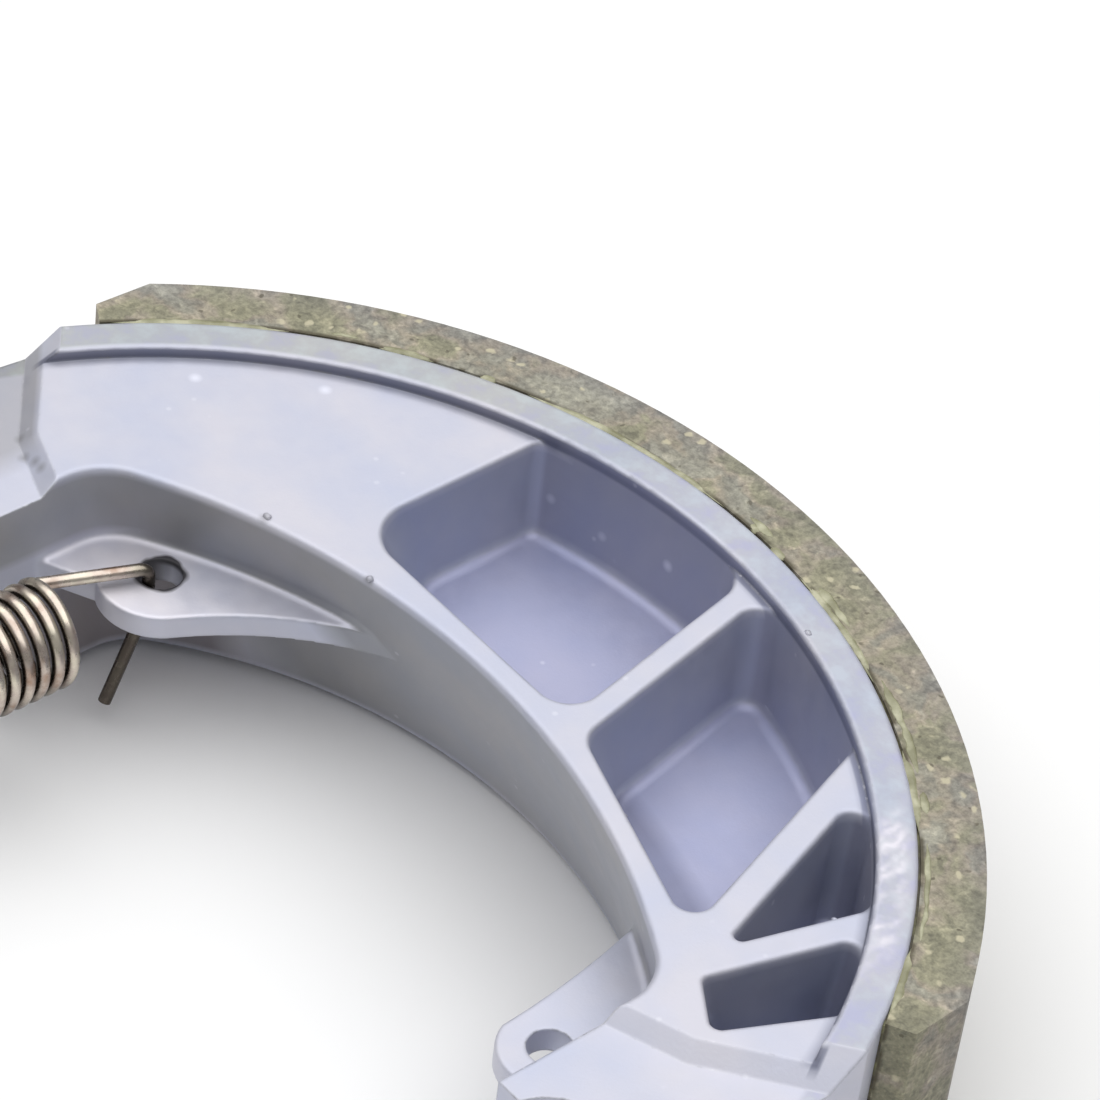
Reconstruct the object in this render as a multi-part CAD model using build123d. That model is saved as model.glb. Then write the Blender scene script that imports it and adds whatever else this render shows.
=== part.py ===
from build123d import *
from math import atan2, cos, degrees, hypot, pi, radians, sin, sqrt, tan
import os

# Drum brake shoe with a bonded lining and its return spring.  Sizes are millimetres and degrees.
# The drum axis is parallel to Z.  The shoe lies on one side face, its lining curves round +Y, the
# cam end is on the -X side and the anchor end on the +X side.  Everything is drawn about the drum
# axis at mid width and then moved, so that the written origin is the centre of the anchor pin seat.

# Brake size
drum_radius = 65.0
shoe_width = 25.0

# Friction lining, bonded to the rim
lining_thickness = 5.4
lining_width = 24.8
lining_half_angle = 61.0
lining_end_drop = 2.8
lining_end_run = 5.2
film_thickness = 0.2
film_edge_inset = 0.3

# Casting: rim, web, ribs and inner lip
rim_thickness = 3.5
rim_half_angle = 64.4
plateau_drop = 1.2
web_thickness = 2.5
lip_width = 3.0
cam_pad_lip_width = 5.0
least_lip_end = 2.2
draft_angle = 5.0
mouth_radius = 0.4
lip_edge_radius = 0.5
rim_edge_radius = 0.3

# Inner wall: an arc at each face plateau, wider apart towards the lower face
throat_upper = 29.2
throat_upper_radius = 71.4
throat_lower = 37.3
throat_lower_radius = 54.2
throat_half_width = 37.7
throat_corner_radius = 6.0

# Ribs: where each centre line starts at the lip and ends at the rim, and how thick it is
rib_angles = ((20.2, 7.1, 2.4), (58.5, 30.8, 3.0), (60.3, 49.4, 2.6))
cam_pad_edge = (-30.0, -19.4)
anchor_pad_edge = (68.0, 60.5)

# Pockets from the cam end on: radii of the corners, first at the rim and then at the lip, and of the floor
pocket_corners = (((1.5, 3.5, 3.0, 5.0), 1.2), ((2.0, 1.5, 1.8, 3.0), 1.2),
                  ((1.5, 2.0, 0.6), 0.5), ((1.2, 1.2, 0.9, 0.9), 0.7))

# Feet at the two ends
foot_drop = 2.6
foot_ramp_angle = 50.0
pad_end_angle = 69.7
pad_end_sweep = 5.6
pad_end_radius = 6.0
cam_foot_outer = 54.3
cam_foot_straight = 13.5
cam_face_height = 5.5
anchor_x = 46.0
anchor_pin_radius = 6.0
anchor_foot_half_width = 8.3
anchor_foot_gap = 1.5
foot_corner_radius = 1.5

# Spring lugs on the inner wall
lug_top = 2.75
lug_thickness = 2.5
lug_hole_radius = 2.0
lug_root = 1.5
lug_root_radius = 0.8
lug_edge_radius = 0.3

# Each lug: hole centre, nose radius, end of its hollow flank inside the wall, a point of the flank,
# the angles where the flank and the heel meet the nose, and the heel
cam_lug = ((-30.3, 20.0), 5.8, (-9.0, 33.4), (-20.2, 24.9), (-22.0, -115.0), (-39.0, 11.5))
anchor_lug = ((32.6, 12.0), 4.5, (25.0, 30.5), (27.6, 18.5), (200.0, 300.0), (39.0, 8.0))

# Return spring, drawn at its fitted length
wire_diameter = 1.2
coil_diameter = 10.1
coil_half_length = 7.9
coil_turns = 10
coil_rise = 0.6
leg_angle = 135.0
hook_clearance = 0.1
leg_lift = 0.6
hook_bend_radius = 0.9
hook_depth = 0.4
tail_reach = 4.2
tail_drop = 9.5

# Values worked out from the sizes above
rim_outer = drum_radius - lining_thickness - film_thickness
rim_inner = rim_outer - rim_thickness
half_width = shoe_width / 2
plateau = half_width - plateau_drop
foot_level = half_width - foot_drop
floor_level = web_thickness / 2
cut_margin = 2.0
tiny = 0.001


def polar(radius, angle):
    """Point at a radius and an angle from +Y towards +X, about the drum axis."""
    return (radius * sin(radians(angle)), radius * cos(radians(angle)))


def throat_arc(level):
    """Crest height and radius of the inner wall's arc at a height above mid width."""
    share = (plateau - level) / (2 * plateau)
    crest = throat_upper + share * (throat_lower - throat_upper)
    radius = throat_upper_radius + share * (throat_lower_radius - throat_upper_radius)
    return crest, radius


def ring_sector(inner, outer, half_angle, height):
    """Solid sector of a ring, centred on +Y and on mid width."""
    with BuildSketch() as sketch:
        with BuildLine():
            ThreePointArc(polar(outer, -half_angle), (0, outer), polar(outer, half_angle))
            Line(polar(outer, half_angle), polar(inner, half_angle))
            ThreePointArc(polar(inner, half_angle), (0, inner), polar(inner, -half_angle))
            Line(polar(inner, -half_angle), polar(outer, -half_angle))
        make_face()
    return extrude(sketch.sketch, height / 2, both=True)


def through_line(start, end, shift):
    """Line through two points, moved sideways: to the right of its direction when shift is positive."""
    dx, dy = end[0] - start[0], end[1] - start[1]
    length = hypot(dx, dy)
    dx, dy = dx / length, dy / length
    return (start[0] + dy * shift, start[1] - dx * shift), (dx, dy)


def meet_circle(line, centre_y, radius):
    """Far crossing of a line with a circle centred on the Y axis."""
    (px, py), (dx, dy) = line
    py = py - centre_y
    along = px * dx + py * dy
    reach = -along + sqrt(along * along - px * px - py * py + radius * radius)
    return (px + reach * dx, py + reach * dy + centre_y)


def meet_line(first, second):
    """Crossing of two lines."""
    (ax, ay), (bx, by) = first
    (cx, cy), (dx, dy) = second
    share = ((cx - ax) * dy - (cy - ay) * dx) / (bx * dy - by * dx)
    return (ax + share * bx, ay + share * by)


def throat_section(level):
    """Outline of the open space inside the shoe at one height."""
    crest, radius = throat_arc(level)
    side = crest - radius + sqrt(radius ** 2 - throat_half_width ** 2)
    low = -2 * throat_half_width
    with BuildSketch(Plane.XY.offset(level)) as sketch:
        with BuildLine():
            ThreePointArc((-throat_half_width, side), (0, crest), (throat_half_width, side))
            Polyline((throat_half_width, side), (throat_half_width, low), (-throat_half_width, low),
                     (-throat_half_width, side))
        make_face()
        corners = sketch.vertices().filter_by_position(Axis.Y, side - 0.1, side + 0.1)
        fillet(corners, throat_corner_radius)
    return sketch.sketch


def throat():
    """Open space between the feet and inside the lip; its wall leans back towards the lower face."""
    reach = half_width + cut_margin
    return loft([throat_section(-reach).face(), throat_section(reach).face()], ruled=True)


def pocket_outline(level, inset, first_side, second_side, lip_level, radii):
    """Face of one pocket at a height: two sides, the rim's arc and a straight or pointed lip end."""
    rim_radius = rim_inner - inset
    line_a = through_line(*first_side[:2], first_side[2] / 2 + inset)
    line_b = through_line(*second_side[:2], -second_side[2] / 2 - inset)
    rim_a = meet_circle(line_a, 0, rim_radius)
    rim_b = meet_circle(line_b, 0, rim_radius)
    crest, radius = throat_arc(lip_level)
    lip_a = meet_circle(line_a, crest - radius, radius + first_side[3] + inset)
    lip_b = meet_circle(line_b, crest - radius, radius + second_side[3] + inset)
    ends = [meet_line(line_a, line_b)] if lip_b[0] - lip_a[0] < least_lip_end else [lip_b, lip_a]
    middle = (degrees(atan2(*rim_a)) + degrees(atan2(*rim_b))) / 2
    with BuildSketch(Plane.XY.offset(level)) as sketch:
        with BuildLine():
            ThreePointArc(rim_a, polar(rim_radius, middle), rim_b)
            Polyline(rim_b, *ends, rim_a)
        make_face()
        for corner, size in zip([rim_a, rim_b] + ends, radii):
            near = sketch.vertices().sort_by_distance((corner[0], corner[1], level))[0]
            fillet(near, size)
    return sketch.sketch


def pocket(first_side, second_side, radii, floor_fillet, side):
    """Tapered pocket from a face plateau down to the web; side is +1 above and -1 below."""
    inset = (plateau - floor_level) * tan(radians(draft_angle))
    mouth, floor = side * plateau, side * floor_level
    lip_at_floor = floor if side > 0 else mouth
    top = pocket_outline(mouth, 0, first_side, second_side, mouth, radii)
    bottom = pocket_outline(floor, inset, first_side, second_side, lip_at_floor, radii)
    solid = loft([top.face(), bottom.face()], ruled=True)
    edges = solid.faces().sort_by(Axis.Z)[0 if side > 0 else -1].edges()
    return fillet(edges, floor_fillet)


def rib_side(lip_angle, rim_angle, thickness, lip=lip_width):
    """Centre line, thickness and lip width of a rib; a pad edge is a rib with no thickness."""
    crest, radius = throat_arc(plateau)
    outward = (polar(1, lip_angle), polar(rim_inner, rim_angle))
    start = meet_circle(((0, 0), outward[0]), crest - radius, radius + lip)
    return start, outward[1], thickness, lip


def pockets():
    """Every pocket of the two faces."""
    sides = [rib_side(*cam_pad_edge, 0, cam_pad_lip_width)]
    sides += [rib_side(*rib) for rib in rib_angles]
    sides += [rib_side(*anchor_pad_edge, 0)]
    solids = []
    for side in (1, -1):
        for index, (radii, floor_fillet) in enumerate(pocket_corners):
            solids.append(pocket(sides[index], sides[index + 1], radii, floor_fillet, side))
    return solids


def blank(level):
    """Outline of the casting, as high as a level above and below mid width."""
    rim_end = polar(rim_outer, rim_half_angle)
    cam_corner = (-rim_end[0], rim_end[1])
    anchor_outer = anchor_x + anchor_foot_half_width
    with BuildSketch() as sketch:
        with BuildLine():
            ThreePointArc(cam_corner, (0, rim_outer), rim_end)
            Polyline(rim_end, (anchor_outer, anchor_pin_radius), (anchor_outer, anchor_foot_gap),
                     (0, anchor_foot_gap), (0, cam_face_height), (-cam_foot_outer, cam_face_height),
                     (-cam_foot_outer, cam_face_height + cam_foot_straight), cam_corner)
        make_face()
        for corner in ((-cam_foot_outer, cam_face_height),
                       (-cam_foot_outer, cam_face_height + cam_foot_straight),
                       (anchor_outer, anchor_foot_gap)):
            fillet(sketch.vertices().sort_by_distance((*corner, 0))[0], foot_corner_radius)
    return extrude(sketch.sketch, level, both=True)


def foot_cut(end, side):
    """Space over one foot, with a ramp up to the pad; end is -1 at the cam and +1 at the anchor."""
    rise = foot_drop + cut_margin
    ramp_run = (plateau - foot_level) * tan(radians(foot_ramp_angle))
    inner = polar(throat_half_width - cut_margin, pad_end_angle)
    outer = polar(drum_radius + cut_margin, pad_end_angle - pad_end_sweep)
    bend = polar((rim_inner + throat_half_width) / 2, pad_end_angle)
    far = 2 * drum_radius
    with BuildSketch(Plane.XY.offset(foot_level)) as sketch:
        with BuildLine():
            Polyline(bend, inner, (inner[0], -far), (far, -far), (far, outer[1]), outer)
            Line(outer, bend)
        make_face()
        offset(amount=-ramp_run)
        fillet(sketch.vertices().sort_by_distance((bend[0], bend[1], foot_level))[:1], pad_end_radius)
    solid = extrude(sketch.sketch, rise, taper=-foot_ramp_angle)
    solid = solid if end > 0 else mirror(solid, Plane.YZ)
    return solid if side > 0 else mirror(solid, Plane.XY)


def round_edges(solid, radius, edges):
    """Solid with these edges rounded."""
    return solid.solids()[0].fillet(radius, edges)


def lug(hole, nose_radius, tip, flank, nose_angles, heel):
    """Flat ear on the inner wall with a hole for a spring hook."""
    crest, radius = throat_arc(lug_top)
    middle = sum(nose_angles) / 2
    nose = [(hole[0] + nose_radius * cos(radians(angle)), hole[1] + nose_radius * sin(radians(angle)))
            for angle in (nose_angles[0], middle, nose_angles[1])]
    with BuildSketch(Plane.XY.offset(lug_top - lug_thickness)) as sketch:
        with BuildLine():
            ThreePointArc(tip, flank, nose[0])
            ThreePointArc(*nose)
            Polyline(nose[2], heel, (heel[0], rim_inner), (tip[0], rim_inner), tip)
        make_face()
        with Locations((0, crest - radius)):
            Circle(radius + lug_root, mode=Mode.INTERSECT)
        with Locations(hole):
            Circle(lug_hole_radius, mode=Mode.SUBTRACT)
    solid = extrude(sketch.sketch, lug_thickness)
    rims = [edge for end in (0, -1) for edge in solid.faces().sort_by(Axis.Z)[end].outer_wire().edges()]
    return round_edges(solid, lug_edge_radius, rims)


def level_edges(solid, level, kind):
    """Edges of one kind that lie flat at a height above or below mid width."""
    edges = solid.edges().filter_by(kind)
    return edges.filter_by_position(Axis.Z, level - tiny, level + tiny) + edges.filter_by_position(
        Axis.Z, -level - tiny, -level + tiny)


def lip_edges(solid):
    """Edges where the inner wall meets the plateaus."""
    edges = []
    for face in solid.faces():
        box = face.bounding_box()
        inside = abs(box.center().X) < throat_half_width + tiny and box.max.Y < throat_lower + tiny
        if inside and box.size.Z > shoe_width - 2 * foot_drop - tiny:
            edges += [edge for edge in face.edges() if abs(abs(edge.center().Z) - plateau) < tiny]
    return edges


def casting():
    """Rim, web, ribs, lip, feet and lugs in one die casting."""
    solid = blank(plateau)
    for hollow in pockets():
        solid -= hollow
    faces = [solid.faces().sort_by(Axis.Z)[end] for end in (0, -1)]
    mouths = [edge for face in faces for wire in face.inner_wires() for edge in wire.edges()]
    solid = round_edges(solid, mouth_radius, mouths)
    solid += blank(half_width) - Cylinder(rim_inner, 2 * shoe_width)
    solid -= throat()
    for side in (1, -1):
        for end in (1, -1):
            solid -= foot_cut(end, side)
    solid = round_edges(solid, rim_edge_radius, level_edges(solid, half_width, GeomType.CIRCLE))
    solid = round_edges(solid, lip_edge_radius, lip_edges(solid))
    solid -= Pos(anchor_x, 0, 0) * Cylinder(anchor_pin_radius, 2 * shoe_width)
    solid += lug(*cam_lug) + lug(*anchor_lug)
    curved = solid.edges().filter_by(GeomType.BSPLINE)
    roots = [edge for level in (lug_top, lug_top - lug_thickness)
             for edge in curved.filter_by_position(Axis.Z, level - tiny, level + tiny)]
    return round_edges(solid, lug_root_radius, roots)


def lining():
    """Moulded friction lining with its two ends tapered."""
    inner = drum_radius - lining_thickness
    solid = ring_sector(inner, drum_radius, lining_half_angle, lining_width)
    tip = polar(drum_radius - lining_end_drop, lining_half_angle)
    run_angle = lining_half_angle - degrees(lining_end_run / drum_radius)
    shoulder = polar(drum_radius, run_angle)
    clear = polar(drum_radius + lining_end_drop, lining_half_angle + 1)
    with BuildSketch() as sketch:
        with BuildLine():
            Polyline(tip, shoulder, polar(drum_radius + lining_end_drop, run_angle), clear, close=True)
        make_face()
    taper = extrude(sketch.sketch, shoe_width, both=True)
    return solid - taper - mirror(taper, Plane.YZ)


def bond_film():
    """Cured adhesive between the lining and the rim."""
    height = lining_width - 2 * film_edge_inset
    return ring_sector(rim_outer, rim_outer + film_thickness, lining_half_angle, height)


def hook_points(coil_radius, pitch):
    """Corners of one end of the spring, from the last turn to the tail, about the coil's centre."""
    slope = pitch / (2 * pi * coil_radius)
    start = (coil_radius * cos(radians(leg_angle)), coil_half_length, coil_radius * sin(radians(leg_angle)))
    leg_height = lug_thickness / 2 + wire_diameter / 2 + hook_clearance + leg_lift - coil_rise
    run = (start[2] - leg_height) / -cos(radians(leg_angle))
    turn_off = (start[0] - run * sin(radians(leg_angle)), start[1] + run * slope, leg_height)
    bearing = cam_lug[0][1] - lug_hole_radius + wire_diameter / 2 + hook_clearance
    low = -lug_thickness / 2 - hook_depth - coil_rise
    return [start, turn_off, (0, bearing, leg_height), (0, bearing, low),
            (0, bearing - tail_reach, low - tail_drop)]


def return_spring():
    """Tension spring with a long hook at each end, one of them through the cam end lug."""
    coil_radius = (coil_diameter - wire_diameter) / 2
    turns = coil_turns + (leg_angle - 90) / 180
    pitch = 2 * coil_half_length / turns
    coil = Helix(pitch, 2 * coil_half_length, coil_radius, lefthand=True)
    coil = Rot(-90, 0, 0) * Rot(0, 0, leg_angle - 180) * Pos(0, 0, -coil_half_length) * coil
    hook = FilletPolyline(*hook_points(coil_radius, pitch), radius=hook_bend_radius)
    far_hook = Rot(0, 0, 180) * hook
    path = Wire(far_hook.edges() + coil.edges() + hook.edges())
    section = Plane(path ^ 0) * Circle(wire_diameter / 2)
    height = lug_top - lug_thickness / 2 + coil_rise
    return Pos(cam_lug[0][0], 0, height) * sweep(section, path)


def write_parts():
    """Move every piece to the anchor pin seat and write it."""
    pieces = {"shoe_casting": casting(), "friction_lining": lining(), "bond_film": bond_film(),
              "return_spring": return_spring()}
    os.makedirs("parts", exist_ok=True)
    for name, solid in pieces.items():
        export_step(Pos(-anchor_x, 0, 0) * solid, f"parts/{name}.step")


write_parts()
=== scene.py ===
# %% [markdown]
# # A drum brake shoe
# The shoe is an aluminium die casting with a bonded friction lining and a hooked return spring.
# The CAD model already has the right shapes, so this script gives each piece its finish, adds the
# small things a foundry and a glue press leave behind, and sets up floor, light and camera.

# %% Load the frame
import math
import random

import bmesh
import bpy
from mathutils import Matrix, Vector, noise


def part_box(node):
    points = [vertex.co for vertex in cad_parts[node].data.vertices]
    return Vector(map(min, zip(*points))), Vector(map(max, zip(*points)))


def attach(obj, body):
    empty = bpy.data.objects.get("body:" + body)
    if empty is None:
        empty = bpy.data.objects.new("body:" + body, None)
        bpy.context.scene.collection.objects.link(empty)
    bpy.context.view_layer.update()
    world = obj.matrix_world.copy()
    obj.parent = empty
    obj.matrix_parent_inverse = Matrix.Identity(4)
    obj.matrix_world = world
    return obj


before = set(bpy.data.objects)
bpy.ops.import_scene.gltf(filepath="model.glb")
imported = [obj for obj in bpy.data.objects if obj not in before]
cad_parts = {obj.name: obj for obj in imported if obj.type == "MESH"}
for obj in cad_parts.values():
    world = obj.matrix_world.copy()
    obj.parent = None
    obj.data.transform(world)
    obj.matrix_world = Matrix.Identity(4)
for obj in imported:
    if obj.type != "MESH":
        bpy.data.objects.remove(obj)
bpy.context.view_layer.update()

scene = bpy.context.scene
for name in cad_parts:
    low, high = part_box(name)
    print(name, [round((high[i] - low[i]) * 1000, 1) for i in range(3)], "mm")

# %% [markdown]
# Rim, film and lining are all turned about the drum's axis. The thin film of adhesive is a part of
# a ring about it, so the film's box gives that axis and the radius of the bond, and the casting's
# box gives the shoe's width. What the pieces share is named here once, in metres.

# %% Sizes shared by the pieces
MM = 0.001
film_thickness = 0.2 * MM
rim_thickness = 3.5 * MM
plateau_drop = 1.2 * MM
film_low, film_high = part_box("bond_film")
drum_axis = Vector(((film_low.x + film_high.x) / 2, 0.0, 0.0))
bond_radius = film_high.y - film_thickness / 2
rim_inner = film_high.y - film_thickness - rim_thickness
half_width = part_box("shoe_casting")[1].z
plateau = half_width - plateau_drop
print("drum axis at x", round(drum_axis.x / MM, 2), "bond radius", round(bond_radius / MM, 2), "half width",
      round(half_width / MM, 2), "mm")

# %% [markdown]
# A finish is a small tree of nodes. Writing the same few calls each time hides what a finish does,
# so one helper places a node with its settings, one reads a colour ramp from a short list, and one
# makes noise by the size of its blobs, which is easier to judge on a real surface than a scale.

# %% Helpers for finishes
def start_finish(name):
    """New material with its shader; returns the material, its node tree and the shader."""
    material = bpy.data.materials.new(name)
    material.use_nodes = True
    tree = material.node_tree
    return material, tree, tree.nodes["Principled BSDF"]


def node(tree, kind, inputs=None, **settings):
    """Add a node, set its options, then fill its inputs with values or link them to sockets."""
    made = tree.nodes.new(kind)
    for key, value in settings.items():
        setattr(made, key, value)
    for key, value in (inputs or {}).items():
        if isinstance(value, bpy.types.NodeSocket):
            tree.links.new(value, made.inputs[key])
        else:
            made.inputs[key].default_value = value
    return made


def ramp(tree, factor, stops):
    """Colour ramp over a factor; stops are (position, colour) pairs."""
    made = node(tree, "ShaderNodeValToRGB", {"Fac": factor})
    while len(made.color_ramp.elements) < len(stops):
        made.color_ramp.elements.new(0.5)
    for element, (position, colour) in zip(made.color_ramp.elements, stops):
        element.position = position
        element.color = (*colour, 1.0)
    return made.outputs["Color"]


def grey(value):
    """A grey for a ramp that carries a number."""
    return (value, value, value)


def speckle(tree, coords, size, detail=2.0, roughness=0.5, distortion=0.0):
    """Noise whose blobs are about this big, in metres."""
    return node(tree, "ShaderNodeTexNoise", {
        "Vector": coords, "Scale": 1.0 / size, "Detail": detail, "Roughness": roughness,
        "Distortion": distortion}).outputs["Fac"]


def surface(tree):
    """Place of a surface point in the shoe's own frame, in metres."""
    return node(tree, "ShaderNodeTexCoord").outputs["Object"]


def roughen(tree, shader, height, strength, depth, **inputs):
    """Bump the shader's normal by a height field."""
    bump = node(tree, "ShaderNodeBump", {
        "Height": height, "Strength": strength, "Distance": depth, **inputs})
    tree.links.new(bump.outputs[0], shader.inputs["Normal"])


print("blobs of 2 mm are a noise scale of", round(1.0 / (2 * MM)))

# %% [markdown]
# The adhesive cures to a brittle resin: dark brown down in the bond line, and greenish yellow and
# glossy where it squeezed out over the edge. One helper makes both from three colours and a roughness,
# because it is one substance that only differs in how thick it lies.

# %% Cured adhesive
def cured_adhesive(name, dark, middle_tone, light, roughness):
    """Resin that streaks between three colours."""
    material, tree, shader = start_finish(name)
    coords = surface(tree)
    streak = speckle(tree, coords, 1.8 * MM, 3.0)
    colour = ramp(tree, streak, [(0.35, dark), (0.5, middle_tone), (0.64, light)])
    tree.links.new(colour, shader.inputs["Base Color"])
    shader.inputs["Roughness"].default_value = roughness
    roughen(tree, shader, speckle(tree, coords, 0.4 * MM), 0.4, 0.08 * MM)
    return material


resin = cured_adhesive("bond line resin", (0.03, 0.025, 0.015), (0.07, 0.06, 0.03),
                       (0.16, 0.155, 0.07), 0.45)
squeezed_resin = cured_adhesive("squeezed out resin", (0.22, 0.215, 0.125), (0.32, 0.315, 0.20),
                                (0.46, 0.45, 0.31), 0.3)
print("made", resin.name, "and", squeezed_resin.name)

# %% [markdown]
# Most marks on this shoe have a place of their own: painted shade at a hole and on a step, a galled patch.
# They could be painted on a texture, but a mask worked out from the point's own position stays
# sharp at any distance and needs no unwrapping. These helpers build such masks and lay paint by them.
# Wire and casting both carry painted shade at the lug's hole, so its place is named here for both.

# %% Helpers for masks
def maths(tree, operation, first, second=0.0, third=0.0):
    """One sum on numbers or sockets."""
    return node(tree, "ShaderNodeMath", {0: first, 1: second, 2: third}, operation=operation).outputs[0]


def mixed(tree, factor, first, second, blend="MIX"):
    """Mix two colours by a factor."""
    made = node(tree, "ShaderNodeMix", data_type="RGBA", blend_type=blend)
    for socket, value in ((made.inputs[0], factor), (made.inputs[6], first), (made.inputs[7], second)):
        if isinstance(value, bpy.types.NodeSocket):
            tree.links.new(value, socket)
        else:
            socket.default_value = value if isinstance(value, float) else (*value, 1.0)
    return made.outputs[2]


def laid_on(tree, colour, mask, strength, paint):
    """Lay a paint over a colour where a mask is 1."""
    return mixed(tree, maths(tree, "MULTIPLY", mask, strength), colour, paint)


def split(tree, vector, axes):
    """Sockets for some of the axes of a vector."""
    parts = node(tree, "ShaderNodeSeparateXYZ", {"Vector": vector})
    return [parts.outputs[axis] for axis in axes]


def rise(tree, value, start, end):
    """0 before start and 1 after end; it falls instead when start is the larger."""
    return node(tree, "ShaderNodeMapRange", {
        "Value": value, "From Min": start, "From Max": end}).outputs["Result"]


def both(tree, *masks):
    """1 only where every mask is 1."""
    result = masks[0]
    for mask in masks[1:]:
        result = maths(tree, "MULTIPLY", result, mask)
    return result


def band(tree, value, start, full, last_full, end):
    """1 between the two inner values and 0 outside the outer ones."""
    return both(tree, rise(tree, value, start, full), rise(tree, value, end, last_full))


def near(tree, coords, spot, inner, outer):
    """1 within the inner distance of a spot and 0 past the outer one."""
    away = node(tree, "ShaderNodeVectorMath", {0: coords, 1: spot}, operation="DISTANCE").outputs["Value"]
    return rise(tree, away, outer, inner)


def from_axis(tree, coords, centre):
    """Distance of a surface point from an upright axis through a centre."""
    moved = node(tree, "ShaderNodeMapping", {"Vector": coords, "Location": -centre, "Scale": (1, 1, 0)})
    return node(tree, "ShaderNodeVectorMath", {0: moved.outputs[0]}, operation="LENGTH").outputs["Value"]


lug_hole = Vector((-76.3 * MM, 20.0 * MM, 0.0))
lug_top = 2.75 * MM
print("lug hole", round((lug_hole - drum_axis).length / MM, 1), "mm from the drum's axis")

# %% [markdown]
# Spring wire is drawn, coiled and tempered, which leaves it bright with a straw and brown tint. Painted
# shade darkens the gaps between the turns, which an ambient occlusion node finds, and the wire at the
# lug's hole, and the leg that hangs under the lug is painted dark brown as the lug's shadow.

# %% Spring wire
def spring_wire():
    """Drawn steel with straw and brown temper colours, and painted shade in the gaps, at the lug's hole and
    under the lug.
    """
    material, tree, shader = start_finish("spring wire")
    coords = surface(tree)
    x, height = split(tree, coords, "XZ")
    tint = speckle(tree, coords, 2.4 * MM, 3.0)
    colour = ramp(tree, tint, [(0.30, (0.36, 0.25, 0.19)), (0.45, (0.55, 0.47, 0.41)),
                               (0.65, (0.70, 0.64, 0.52))])
    # Painted shade: an ambient occlusion node darkens the gaps between the turns, and the wire is darkened
    # near the lug's hole.
    open_air = node(tree, "ShaderNodeAmbientOcclusion", {"Distance": 1.3 * MM}, samples=6).outputs["AO"]
    at_hole = near(tree, coords, lug_hole + Vector((0, 0, lug_top)), 2.4 * MM, 4.2 * MM)
    painted_shade = maths(tree, "MAXIMUM", rise(tree, open_air, 0.88, 0.50), maths(tree, "MULTIPLY", at_hole, 0.8))
    colour = mixed(tree, painted_shade, colour, (0.035, 0.025, 0.018))
    # The leg that hangs under the lug is painted dark brown: painted shadow of the lug.
    scale = both(tree, rise(tree, height, 1.0 * MM, -1.5 * MM), rise(tree, x, -84 * MM, -82 * MM))
    colour = laid_on(tree, colour, scale, 0.92, (0.035, 0.027, 0.022))
    tree.links.new(colour, shader.inputs["Base Color"])
    shader.inputs["Metallic"].default_value = 0.9
    roughness = ramp(tree, speckle(tree, coords, 0.8 * MM), [(0.3, grey(0.22)), (0.7, grey(0.38))])
    tree.links.new(roughness, shader.inputs["Roughness"])
    roughen(tree, shader, speckle(tree, coords, 0.2 * MM, 3.0), 0.2, 0.03 * MM)
    return material


steel = spring_wire()
print(steel.name, "has", len(steel.node_tree.nodes), "nodes")

# %% [markdown]
# A friction lining is pressed from resin, mineral powder, fibre and rubber crumbs. Its ground side
# face is a marble of olive, grey and brown patches a few millimetres across, with swirls of about a
# millimetre, and cream and dark grains of a third of a millimetre scattered through them. Noise
# bends the coordinates first, so that patches and grains flow as the compound did in the mould.

# %% Friction compound
lining_worn_radius = 62.0 * MM
lining_rubbed_radius = 64.8 * MM


def scattered(tree, coords, spacing, share, size):
    """Round grains of a size in a share of the cells of a spacing."""
    cells = node(tree, "ShaderNodeTexVoronoi", {"Vector": coords, "Scale": 1.0 / spacing})
    pick = node(tree, "ShaderNodeSeparateColor", {"Color": cells.outputs["Color"]}).outputs[0]
    edge = size / spacing
    return both(tree, rise(tree, pick, 1.0 - share, 1.02 - share),
                rise(tree, cells.outputs["Distance"], edge * 1.2, edge * 0.7))


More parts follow.
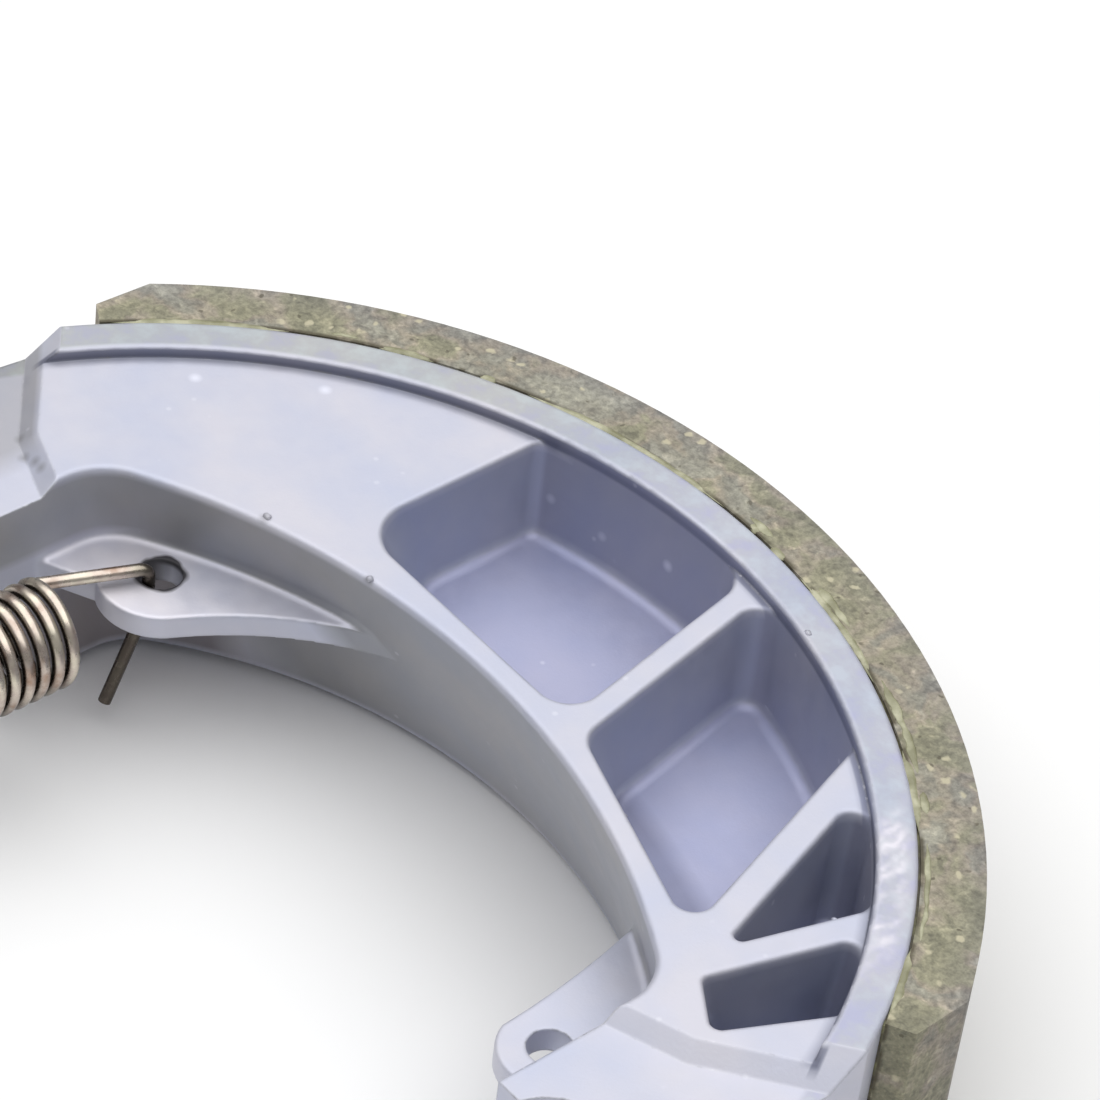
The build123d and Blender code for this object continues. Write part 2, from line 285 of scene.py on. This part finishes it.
def friction_compound():
    """Olive-grey moulded compound with brown patches, swirls, and cream and dark grains."""
    material, tree, shader = start_finish("friction compound")
    coords = surface(tree)
    radius = from_axis(tree, coords, drum_axis)
    warp = node(tree, "ShaderNodeTexNoise", {"Vector": coords, "Scale": 1.0 / (1.1 * MM), "Detail": 3.0})
    bent = node(tree, "ShaderNodeVectorMath", {0: warp.outputs["Color"], 1: (1.1 * MM,) * 3, 2: coords},
                operation="MULTIPLY_ADD").outputs[0]
    patches = speckle(tree, bent, 5.5 * MM, 2.0, 0.5, 0.6)
    colour = ramp(tree, patches, [(0.32, (0.222, 0.214, 0.150)), (0.43, (0.270, 0.257, 0.180)),
                                  (0.51, (0.312, 0.276, 0.216)), (0.58, (0.246, 0.234, 0.192)),
                                  (0.68, (0.318, 0.308, 0.252))])
    worn = rise(tree, radius, lining_worn_radius, lining_rubbed_radius)
    colour = mixed(tree, worn, colour, mixed(tree, 1.0, colour, (0.90, 0.91, 1.0), "MULTIPLY"))
    swirl = speckle(tree, bent, 1.5 * MM, 3.0, 0.55, 1.2)
    swirl_tones = ramp(tree, swirl, [(0.28, (0.22, 0.22, 0.24)), (0.44, (0.45, 0.45, 0.46)),
                                     (0.58, (0.56, 0.56, 0.55)), (0.72, (0.88, 0.86, 0.84))])
    colour = mixed(tree, 0.55, colour, swirl_tones, "OVERLAY")
    crumbs = speckle(tree, coords, 0.42 * MM, 3.0, 0.6)
    crumb_tones = ramp(tree, crumbs, [(0.32, grey(0.22)), (0.66, grey(0.80))])
    colour = mixed(tree, 0.40, colour, crumb_tones, "OVERLAY")
    cream = scattered(tree, bent, 1.7 * MM, 0.45, 0.38 * MM)
    dark = scattered(tree, bent, 1.4 * MM, 0.34, 0.22 * MM)
    colour = laid_on(tree, colour, cream, 0.62, (0.62, 0.57, 0.40))
    colour = laid_on(tree, colour, dark, 0.7, (0.09, 0.08, 0.055))
    # In patches the lining is darker along the bond line.
    darker_near_bond = both(tree, rise(tree, radius, bond_radius + 0.55 * MM, bond_radius + 0.25 * MM),
                   rise(tree, speckle(tree, coords, 3.0 * MM), 0.38, 0.5))
    colour = laid_on(tree, colour, darker_near_bond, 0.85, (0.07, 0.06, 0.035))
    tree.links.new(colour, shader.inputs["Base Color"])
    shader.inputs["Roughness"].default_value = 0.85
    height = maths(tree, "ADD", maths(tree, "MULTIPLY", swirl, 0.8), crumbs)
    roughen(tree, shader, height, 0.55, 0.14 * MM)
    return material


compound = friction_compound()
print(compound.name, "has", len(compound.node_tree.nodes), "nodes")

# %% [markdown]
# Die-cast aluminium is not a mirror. Its skin is satin and a little bluish. Painted shade darkens the
# pockets, the step under the rim and its root and the walls round the lug, and turns the leaning inner
# wall a dull grey; painted light brightens the spring lug and the sides of the ribs; and the rim's top
# is a little darker than the pads. A mask for each of these places is worked out from the surface
# point's own position and normal.

# %% Places on the casting
lip_centre = drum_axis + Vector((0, -42.2 * MM, 0))
lip_radius = 75.9 * MM
lip_lean = -0.36
cam_foot_end = -68 * MM
pockets_middle = -36 * MM
pockets_reach = 26 * MM
anchor_pad = Vector((0.675, -0.737, 0.0))
anchor_pad_reach = -15.45 * MM


def casting_places(tree, coords, normal):
    """Masks by name, each 1 on one place of the casting and 0 on the rest of it."""
    x, height = split(tree, coords, "XZ")
    across, upward = split(tree, normal, "XZ")
    level = maths(tree, "ABSOLUTE", height)
    below_top = rise(tree, level, plateau - 0.2 * MM, plateau - 1.1 * MM)
    below_edge = rise(tree, level, half_width - 0.12 * MM, half_width - 0.40 * MM)
    facing = maths(tree, "ABSOLUTE", upward)
    flat = rise(tree, facing, 0.55, 0.80)
    upright = rise(tree, facing, 0.80, 0.55)

    radius = from_axis(tree, coords, drum_axis)
    inside_rim = rise(tree, radius, rim_inner + 0.5 * MM, rim_inner + 0.3 * MM)
    rim_face = both(tree, rise(tree, radius, rim_inner + 0.1 * MM, rim_inner + 0.6 * MM),
                    rise(tree, facing, 0.75, 0.95))
    from_middle = maths(tree, "ABSOLUTE", maths(tree, "SUBTRACT", x, pockets_middle))
    over_pads = rise(tree, from_middle, pockets_reach - MM, pockets_reach + MM)
    over_pockets = rise(tree, from_middle, pockets_reach + MM, pockets_reach - MM)
    step = both(tree, band(tree, level, plateau - 0.9 * MM, plateau - 0.2 * MM,
                           half_width - 0.40 * MM, half_width - 0.12 * MM),
                band(tree, radius, rim_inner - 0.2 * MM, rim_inner - 0.05 * MM,
                     rim_inner + 0.5 * MM, rim_inner + 0.7 * MM))
    rim_side = both(tree, over_pockets, below_edge,
                    band(tree, radius, rim_inner - 0.75 * MM, rim_inner - 0.55 * MM,
                         rim_inner + 0.5 * MM, rim_inner + 0.7 * MM))

    lip_here = maths(tree, "MULTIPLY_ADD", height, lip_lean, lip_radius)
    beyond_lip = maths(tree, "SUBTRACT", from_axis(tree, coords, lip_centre), lip_here)
    past_pad = node(tree, "ShaderNodeVectorMath", {0: coords, 1: anchor_pad},
                    operation="DOT_PRODUCT").outputs["Value"]
    pocket = both(tree, rise(tree, beyond_lip, 0.0, 0.6 * MM), below_top, inside_rim,
                  rise(tree, x, cam_foot_end - 2 * MM, cam_foot_end),
                  rise(tree, past_pad, anchor_pad_reach + 0.5 * MM, anchor_pad_reach - 0.5 * MM))
    leaning = both(tree, band(tree, beyond_lip, -3.5 * MM, -2.0 * MM, 0.2 * MM, 0.6 * MM), below_top,
                   upright, rise(tree, x, -7.0 * MM, -8.5 * MM))
    curled = both(tree, band(tree, x, -86 * MM, -85 * MM, -77 * MM, -74 * MM), upright, below_top)
    # Most of these places get a tint of painted shade, the rib sides and the lug one of painted light.
    return {
        "pocket floor": both(tree, pocket, flat),
        "pocket wall": maths(tree, "MAXIMUM", both(tree, pocket, upright), rim_side),
        "rib side": both(tree, pocket, upright, rise(tree, across, 0.45, 0.70)),
        "third pocket": both(tree, pocket, upright, rise(tree, x, -17 * MM, -13.5 * MM)),
        "pocket foot": both(tree, pocket, flat, rise(tree, beyond_lip, 6.2 * MM, 4.2 * MM)),
        "step": both(tree, step, over_pads),
        "step root": both(tree, inside_rim,
                          rise(tree, radius, rim_inner - 1.1 * MM, rim_inner - 0.05 * MM),
                          band(tree, level, plateau - 0.4 * MM, plateau - 0.1 * MM,
                               plateau + 0.2 * MM, half_width - 0.2 * MM)),
        "wall": maths(tree, "MAXIMUM", both(tree, leaning, rise(tree, x, -86 * MM, -80 * MM)),
                      both(tree, curled, rise(tree, height, 3.2 * MM, 4.2 * MM))),
        "wall over the lug": both(tree, leaning,
                                  band(tree, x, -88 * MM, -80 * MM, -66 * MM, -53 * MM)),
        "wall under the lug": both(tree, curled, rise(tree, height, -0.8 * MM, -2.2 * MM)),
        "lug": both(tree, band(tree, height, -6 * MM, -4.5 * MM, 4.0 * MM, 5.5 * MM),
                    rise(tree, beyond_lip, 0.5 * MM, -0.6 * MM), rise(tree, x, -52 * MM, -60 * MM),
                    rise(tree, facing, 0.45, 0.8)),
        "foot": both(tree, rise(tree, x, -87.5 * MM, -90.5 * MM),
                     rise(tree, level, plateau - 0.05 * MM, plateau - 0.5 * MM)),
        "rim top": rim_face,
        "rim top by the cam": both(tree, rim_face, rise(tree, x, -48 * MM, -72 * MM)),
        "galled rim": both(tree, band(tree, x, -12 * MM, -9 * MM, -1 * MM, 2 * MM),
                           band(tree, radius, rim_inner, rim_inner + 0.6 * MM,
                                rim_inner + 2.1 * MM, rim_inner + 3.0 * MM),
                           rise(tree, height, half_width - 0.5 * MM, half_width - 0.2 * MM)),
    }


print("inner lip turns about a centre", round(lip_centre.y / MM, 1), "mm from the drum's axis along y")

# %% [markdown]
# Each place gets a tint that the base skin is multiplied by, so mottling shows through all of them.
# A tint over 1 makes its place brighter. The tints of the pockets, the step and its root and the walls
# are painted shade, and those of the rib sides and the lug painted light. Small light specks from the
# die are scattered by chance, while the dark nicks, two spots of painted shadow round flash crumbs and
# the pale blisters along the rim are few, so their places are written down.

# %% Skin of the casting
place_tints = {
    # Painted shade: pocket floor, pocket wall, third pocket, pocket foot, step, step root and the three
    # walls.
    "pocket floor": (0.685, 0.70, 0.845),
    "pocket wall": (0.63, 0.64, 0.71),
    # Painted light on the sides of the ribs.
    "rib side": (1.18, 1.21, 1.19),
    "third pocket": (0.80, 0.80, 0.81),
    "pocket foot": (0.66, 0.66, 0.68),
    "step": (0.50, 0.51, 0.56),
    "step root": (0.62, 0.63, 0.67),
    "wall": (0.70, 0.70, 0.66),
    "wall over the lug": (0.77, 0.765, 0.75),
    "wall under the lug": (0.50, 0.46, 0.43),
    # Painted light on the lug.
    "lug": (1.32, 1.28, 1.22),
    "foot": (0.75, 0.735, 0.695),
    "rim top": (0.82, 0.83, 0.84),
    "rim top by the cam": (0.94, 0.95, 0.875),
}
# The last two dots are painted shadow round two flash crumbs; the others are dark nicks.
nicks_and_crumb_shadows = [(-91.1, 15.3, 9.9), (-88.9, 14.1, 9.9), (-86.4, 14.1, 10.6), (-87.5, 14.3, 10.4),
              (-69.7, 25.8, 11.3), (-58.5, 28.3, 11.3)]
blister_spots = [(-88.2, 32.2, 11.3), (-80.5, 40.9, 11.3), (-62.6, 53.3, 5.7), (-56.9, 54.7, 4.7),
                 (-55.2, 55.1, 3.0), (-49.4, 55.6, 6.2)]


def scattered_pores(tree, coords):
    """Small round specks in a fifth of the cells."""
    pores = node(tree, "ShaderNodeTexVoronoi", {"Vector": coords, "Scale": 1.0 / (2.6 * MM)})
    chosen = node(tree, "ShaderNodeSeparateColor", {"Color": pores.outputs["Color"]}).outputs[0]
    return both(tree, rise(tree, chosen, 0.80, 0.84), rise(tree, pores.outputs["Distance"], 0.13, 0.06))


def dotted(tree, coords, skin, spots, core, strength, paint):
    """Lay small soft dots of a paint on a skin, at spots given in millimetres."""
    for spot in spots:
        skin = laid_on(tree, skin, near(tree, coords, Vector(spot) * MM, core, 0.75 * MM), strength, paint)
    return skin


def cast_skin(tree, coords, blotch, places):
    """Mottled bluish skin, tinted place by place with painted light and shade, with pores, nicks, a bloom
    and blisters.
    """
    mottle = speckle(tree, coords, 11 * MM, 3.0)
    skin = ramp(tree, mottle, [(0.32, (0.502, 0.525, 0.638)), (0.50, (0.535, 0.545, 0.635)),
                               (0.68, (0.577, 0.572, 0.638))])
    skin = mixed(tree, 0.05, skin, ramp(tree, blotch, [(0.35, grey(0.3)), (0.65, grey(0.9))]), "OVERLAY")
    # Painted light and shade laid place by place.
    for place, tint in place_tints.items():
        skin = mixed(tree, places[place], skin, mixed(tree, 1.0, skin, tint, "MULTIPLY"))
    skin = laid_on(tree, skin, scattered_pores(tree, coords), 0.26, (0.80, 0.80, 0.86))
    skin = dotted(tree, coords, skin, nicks_and_crumb_shadows, 0.1 * MM, 0.45, (0.16, 0.155, 0.15))
    bloom = ramp(tree, speckle(tree, coords, 2.6 * MM, 3.0, 0.6),
                 [(0.34, (0.475, 0.47, 0.52)), (0.5, (0.50, 0.50, 0.49)), (0.66, (0.54, 0.56, 0.545))])
    skin = mixed(tree, places["rim top"], skin, mixed(tree, 1.0, skin, bloom, "OVERLAY"))
    return dotted(tree, coords, skin, blister_spots, 0.15 * MM, 0.55, (0.84, 0.85, 0.95))


print(len(place_tints), "tinted places,", len(nicks_and_crumb_shadows), "nicks,", len(blister_spots), "blisters")

# %% [markdown]
# Trimming and handling chip the edges of a casting dark, and a painted highlight, partly rubbed metal,
# runs along them, with brighter painted highlight spots here and there. A bevel node finds the edges:
# it rounds the normal there, so the rounded and the flat normal stop agreeing. Round the lug's hole
# sits a ragged ring of painted shade, and a patch of the rim's top is galled in ripples. A wave
# texture of scale 1 has its crests 0.314 m apart, and that over the wanted spacing is its scale.

# %% Marks of use on the casting
wave_spacing = 0.314
ripple_spacing = 1.3 * MM


def edges_rubbed_and_highlighted(tree, coords, skin, blotch, rounded, off_step):
    """Paint a highlight on the sharp edges, partly rubbed metal, chip them dark in places and add brighter
    painted highlight spots in others.
    """
    flat_normal = node(tree, "ShaderNodeNewGeometry").outputs["Normal"]
    agree = node(tree, "ShaderNodeVectorMath", {0: rounded, 1: flat_normal},
                 operation="DOT_PRODUCT").outputs["Value"]
    edge = rise(tree, agree, 0.985, 0.80)
    # Painted highlight along the edges, partly rubbed metal.
    edge_highlight = both(tree, edge, off_step, ramp(tree, blotch, [(0.3, grey(0.10)), (0.65, grey(0.34))]))
    skin = mixed(tree, edge_highlight, skin, (0.86, 0.86, 0.88))
    chips = both(tree, edge, rise(tree, speckle(tree, coords, 0.9 * MM, 2.0), 0.57, 0.64))
    skin = laid_on(tree, skin, chips, 0.6, (0.20, 0.20, 0.21))
    # Brighter painted highlight spots along the edges.
    highlight_spots = both(tree, edge, off_step, rise(tree, speckle(tree, coords, 1.1 * MM, 3.0, 0.6), 0.42, 0.34))
    return laid_on(tree, skin, highlight_spots, 0.65, (0.92, 0.92, 0.95))


def lug_hole_shade(tree, coords):
    """Ragged ring of painted shade round the lug's hole, lighter on one side of the bore."""
    x, height = split(tree, coords, "XZ")
    # Painted shade: a ragged dark ring round the lug's hole, lighter on one side of the bore.
    lighter_bore_side = both(tree, rise(tree, x, -78.2 * MM, -77.0 * MM), rise(tree, height, 2.45 * MM, 2.0 * MM))
    from_bore = from_axis(tree, coords, lug_hole)
    ragged = maths(tree, "MULTIPLY_ADD", speckle(tree, coords, 1.8 * MM, 1.0), 1.1 * MM, from_bore)
    return both(tree, rise(tree, ragged, 3.15 * MM, 2.75 * MM), rise(tree, height, 5 * MM, 4 * MM),
                maths(tree, "MULTIPLY_ADD", lighter_bore_side, -0.70, 1.0))


def cast_aluminium():
    """Satin casting skin with its places of painted light and shade, rubbed and highlighted edges, a galled
    patch and painted shade at the lug's hole.
    """
    material, tree, shader = start_finish("cast aluminium")
    texture = node(tree, "ShaderNodeTexCoord")
    coords = texture.outputs["Object"]
    places = casting_places(tree, coords, texture.outputs["Normal"])
    blotch = speckle(tree, coords, 2.2 * MM, 3.0)
    rounded = node(tree, "ShaderNodeBevel", {"Radius": 0.45 * MM}, samples=6).outputs[0]
    skin = cast_skin(tree, coords, blotch, places)
    skin = edges_rubbed_and_highlighted(tree, coords, skin, blotch, rounded, maths(tree, "SUBTRACT", 1.0, places["step"]))
    ripple = node(tree, "ShaderNodeTexWave", {
        "Vector": coords, "Scale": wave_spacing / ripple_spacing, "Distortion": 7.0, "Detail": 3.0,
        "Detail Scale": 1.5}).outputs["Fac"]
    galled = both(tree, places["galled rim"], rise(tree, speckle(tree, coords, 2.2 * MM, 2.0), 0.34, 0.62))
    skin = mixed(tree, both(tree, galled, rise(tree, ripple, -0.8, 1.6)), skin, (0.80, 0.77, 0.83))
    # Painted shade round the lug's hole.
    skin = laid_on(tree, skin, lug_hole_shade(tree, coords), 0.93, (0.025, 0.022, 0.025))
    tree.links.new(skin, shader.inputs["Base Color"])
    shader.inputs["Metallic"].default_value = 0.42
    roughness = ramp(tree, blotch, [(0.3, grey(0.44)), (0.7, grey(0.58))])
    tree.links.new(roughness, shader.inputs["Roughness"])
    grain = maths(tree, "MULTIPLY", speckle(tree, coords, 0.35 * MM, 4.0, 0.6), 0.5)
    relief = maths(tree, "ADD", grain, maths(tree, "MULTIPLY", both(tree, galled, ripple), 0.6))
    roughen(tree, shader, relief, 0.35, 0.08 * MM, Normal=rounded)
    return material


aluminium = cast_aluminium()
print(aluminium.name, "has", len(aluminium.node_tree.nodes), "nodes")

# %% [markdown]
# The four pieces that came from the CAD model keep their meshes and only need their finish. Each is
# given one material, in place of the plain one that it came with.

# %% Finish the four pieces
def wear(piece, material):
    """Give a piece one material."""
    piece.data.materials.clear()
    piece.data.materials.append(material)


for name, material in (("shoe_casting", aluminium), ("friction_lining", compound), ("bond_film", resin),
                       ("return_spring", steel)):
    wear(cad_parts[name], material)
    print(name, "is finished in", material.name)

# %% [markdown]
# When the lining was clamped on, adhesive squeezed out along both edges and set as flat beads, with
# gaps where the line stayed starved and dark. A bead could be a bevelled curve, but a spun ring of
# vertices keeps every bead at the bond radius, and noise then swells and thins it as it ran.

# %% How one bead is made
bead_facet = 0.45 * MM
bead_tip = 0.12
bead_taper = 4.5
bead_swell, swell_waves = 0.55, 60.0
bead_drift, drift_waves = 0.14 * MM, 45.0
level_waves = 900.0


def bead(build, start, end, radius, width, level, thickness):
    """Spin a flat oval from a start to an end angle about the drum's axis and taper both its ends."""
    old = set(build.verts)
    ring = bmesh.ops.create_circle(build, cap_ends=True, segments=8, radius=1.0)["verts"]
    bmesh.ops.scale(build, verts=ring, vec=(width / 2, thickness / 2, 1.0))
    bmesh.ops.rotate(build, verts=ring, cent=(0, 0, 0), matrix=Matrix.Rotation(math.pi / 2, 3, "X"))
    bmesh.ops.translate(build, verts=ring, vec=(radius, 0, level))
    bmesh.ops.rotate(build, verts=ring, cent=(0, 0, 0), matrix=Matrix.Rotation(math.pi / 2 - start, 3, "Z"))
    faces = list({face for vert in ring for face in vert.link_faces})
    steps = max(6, round((end - start) * radius / bead_facet))
    bmesh.ops.spin(build, geom=ring + faces, cent=(0, 0, 0), axis=(0, 0, -1), dvec=(0, 0, 0),
                   angle=end - start, steps=steps, use_duplicate=False)
    for vert in set(build.verts) - old:
        angle = math.atan2(vert.co.x, vert.co.y)
        along = (angle - start) / (end - start)
        taper = min(1.0, bead_tip + bead_taper * min(along, 1.0 - along))
        swell = 1.0 + bead_swell * noise.noise((angle * swell_waves, level * level_waves, 1.5))
        drift = bead_drift * noise.noise((angle * drift_waves, level * level_waves, 8.5))
        flat = Vector((vert.co.x, vert.co.y))
        off = (flat.length - radius) * taper * swell
        flat = flat.normalized() * (radius + drift * taper + off)
        vert.co = (flat.x, flat.y, level + (vert.co.z - level) * taper)


print("a bead is made of facets of", bead_facet / MM, "mm")

# %% [markdown]
# The beads on the upper side lie where the clamp let them out, so each is written down: start and
# end in degrees, then how far out it lies in millimetres. Thin smears spread from some of them on to
# the lining, and their fourth number is the width. The lower side is never seen whole, so chance
# places its beads. Spin may number its vertices differently from run to run, so they are sorted
# along one direction.

# %% Adhesive beads
upper_beads = [(-60.0, -44.6, 0.0), (-37.0, -31.4, 0.1), (-27.4, -25.8, 0.0), (-22.8, -1.6, 0.0),
               (1.2, 2.6, 0.3), (4.4, 6.4, 0.1), (8.6, 22.4, 0.05), (30.2, 39.6, 0.0), (52.4, 60.4, 0.0)]
smears = [(-41.0, -38.6, 0.7, 0.5), (0.6, 3.6, 1.0, 0.8), (10.4, 15.6, 0.85, 0.9), (22.0, 33.0, 0.8, 0.8),
          (35.0, 37.5, 0.9, 0.7), (40.6, 51.6, 0.65, 0.45)]
upper_level = 12.30 * MM
smear_level = 12.39 * MM
lower_level = -12.31 * MM
first_lower, last_lower, last_end = -60.0, 56.0, 60.4
sorted_along = Vector((1.0, 0.31, 0.17))


def linked(name, build, material):
    """Turn a finished bmesh into a smooth piece of one material and link it to the scene."""
    mesh = bpy.data.meshes.new(name)
    build.to_mesh(mesh)
    build.free()
    mesh.shade_smooth()
    piece = bpy.data.objects.new(name, mesh)
    scene.collection.objects.link(piece)
    wear(piece, material)
    return piece


random.seed(12)
build = bmesh.new()
for start, end, outward in upper_beads:
    bead(build, math.radians(start), math.radians(end), bond_radius + (0.12 + outward) * MM, 0.85 * MM,
         upper_level, 0.30 * MM)
for start, end, outward, width in smears:
    bead(build, math.radians(start), math.radians(end), bond_radius + outward * MM, width * MM,
         smear_level, 0.14 * MM)
angle = first_lower
while angle < last_lower:
    length = random.uniform(2.0, 11.0)
    bead(build, math.radians(angle), math.radians(min(angle + length, last_end)),
         bond_radius + random.uniform(0.1, 0.4) * MM, random.uniform(0.6, 1.1) * MM, lower_level, 0.28 * MM)
    angle += length + random.uniform(0.8, 3.5)
bmesh.ops.translate(build, verts=build.verts, vec=drum_axis)
bmesh.ops.recalc_face_normals(build, faces=build.faces)
build.verts.sort(key=lambda vert: vert.co.dot(sorted_along))
build.faces.sort(key=lambda face: face.calc_center_median().dot(sorted_along))
adhesive_beads = linked("adhesive_beads", build, squeezed_resin)
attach(adhesive_beads, "root")
levels = [vert.co.z / MM for vert in adhesive_beads.data.vertices]
print("adhesive beads:", len(adhesive_beads.data.polygons), "faces between", round(min(levels), 2), "and",
      round(max(levels), 2), "mm")

# %% [markdown]
# Trimming the flash leaves crumbs of metal on the sharp edges. Each is a small ball that noise makes
# lumpy, a little flattened, and half sunk into the edge that carries it. Its centre goes to the
# nearest point of the casting, so a place only has to be roughly right.

# %% Flash crumbs
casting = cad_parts["shoe_casting"]
crumb_places = [((-69.7, 26.1, 11.3), 0.50), ((-58.5, 28.5, 11.3), 0.42), ((-31.2, 54.5, 12.4), 0.40),
                ((-24.0, 31.5, 11.3), 0.28), ((-49.0, 55.0, -12.4), 0.34), ((-34.0, 37.0, -11.3), 0.36),
                ((-6.2, 34.6, 10.9), 0.38)]
crumb_flatness = (1.0, 0.75, 0.6)
crumb_lumpiness, lump_waves = 0.6, 1900.0
build = bmesh.new()
for place, size in crumb_places:
    seat = casting.closest_point_on_mesh(Vector(place) * MM)[1]
    crumb = bmesh.ops.create_icosphere(build, subdivisions=2, radius=size * MM)["verts"]
    for vert in crumb:
        vert.co *= 1.0 + crumb_lumpiness * noise.noise(vert.co * lump_waves + Vector(place))
    bmesh.ops.scale(build, verts=crumb, vec=crumb_flatness)
    bmesh.ops.translate(build, verts=crumb, vec=seat)
    print("crumb moved", round((seat - Vector(place) * MM).length / MM, 2), "mm onto the casting")
flash_crumbs = linked("flash_crumbs", build, aluminium)
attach(flash_crumbs, "root")
print(len(crumb_places), "crumbs,", len(flash_crumbs.data.polygons), "faces")

# %% [markdown]
# The shoe lies on a plain pale floor. It is one large square at the height of the shoe's lower face,
# wide enough that its edge is never seen.

# %% Floor
floor_half_side = 3.0
floor_paint, _, floor_shader = start_finish("pale floor")
floor_shader.inputs["Base Color"].default_value = (0.88, 0.88, 0.88, 1.0)
floor_shader.inputs["Roughness"].default_value = 0.9
build = bmesh.new()
bmesh.ops.create_grid(build, x_segments=1, y_segments=1, size=floor_half_side)
bmesh.ops.translate(build, verts=build.verts, vec=(0, 0, -half_width))
floor = linked("floor", build, floor_paint)
print("floor at", round(-half_width / MM, 2), "mm")

# %% [markdown]
# One large softbox hangs over the shoe, a little behind its middle, so the walls that face the viewer
# stay in shade, and a pale world fills the shadows. A large lamp gives shadows with a soft border.

# %% Light
middle = Vector((-46 * MM, 35 * MM, 0.0))
away = Vector((-1, 1, 0)).normalized()
right = Vector((1, 1, 0)).normalized()
softbox_place = middle + away * 0.05 - right * 0.03 + Vector((0, 0, 0.60))
softbox_size = 1.25
softbox_power = 8.1
world_strength = 0.27

lamp = bpy.data.lights.new("top softbox", "AREA")
lamp.shape = "SQUARE"
lamp.size = softbox_size
lamp.energy = softbox_power
softbox = bpy.data.objects.new("top softbox", lamp)
softbox.location = softbox_place
softbox.rotation_euler = (middle - softbox_place).to_track_quat("-Z", "Y").to_euler()
scene.collection.objects.link(softbox)
world = bpy.data.worlds.new("studio")
world.use_nodes = True
world.node_tree.nodes["Background"].inputs["Color"].default_value = (1.0, 1.0, 1.0, 1.0)
world.node_tree.nodes["Background"].inputs["Strength"].default_value = world_strength
scene.world = world
scene.view_settings.view_transform = "Standard"
print("softbox", round((softbox_place - middle).length, 2), "m from the shoe")

# %% [markdown]
# A long lens keeps the near and the far end of the shoe at nearly the same size. A new camera looks
# straight down. It is rolled, tipped up and turned, in that order, and then moved to its place. The
# focal length and the width of the render are both in pixels, so their ratio gives the lens for any
# sensor.

# %% Camera
render_width_pixels = 1100
focal_length_pixels = 5000
sensor_width = 36.0
camera_turn = math.radians(45.0)
camera_tip = math.radians(90.0 - 41.07)
camera_roll = math.radians(7.521)
camera_place = Vector((0.17812, -0.18695, 0.29576))

camera_data = bpy.data.cameras.new("camera")
camera_data.sensor_width = sensor_width
camera_data.lens = sensor_width * focal_length_pixels / render_width_pixels
camera_data.clip_start = 0.01
camera = bpy.data.objects.new("camera", camera_data)
camera.matrix_world = (Matrix.Translation(camera_place) @ Matrix.Rotation(camera_turn, 4, "Z")
                       @ Matrix.Rotation(camera_tip, 4, "X") @ Matrix.Rotation(camera_roll, 4, "Z"))
scene.collection.objects.link(camera)
scene.camera = camera
print("camera looks along", [round(v, 3) for v in -camera.matrix_world.col[2].xyz])
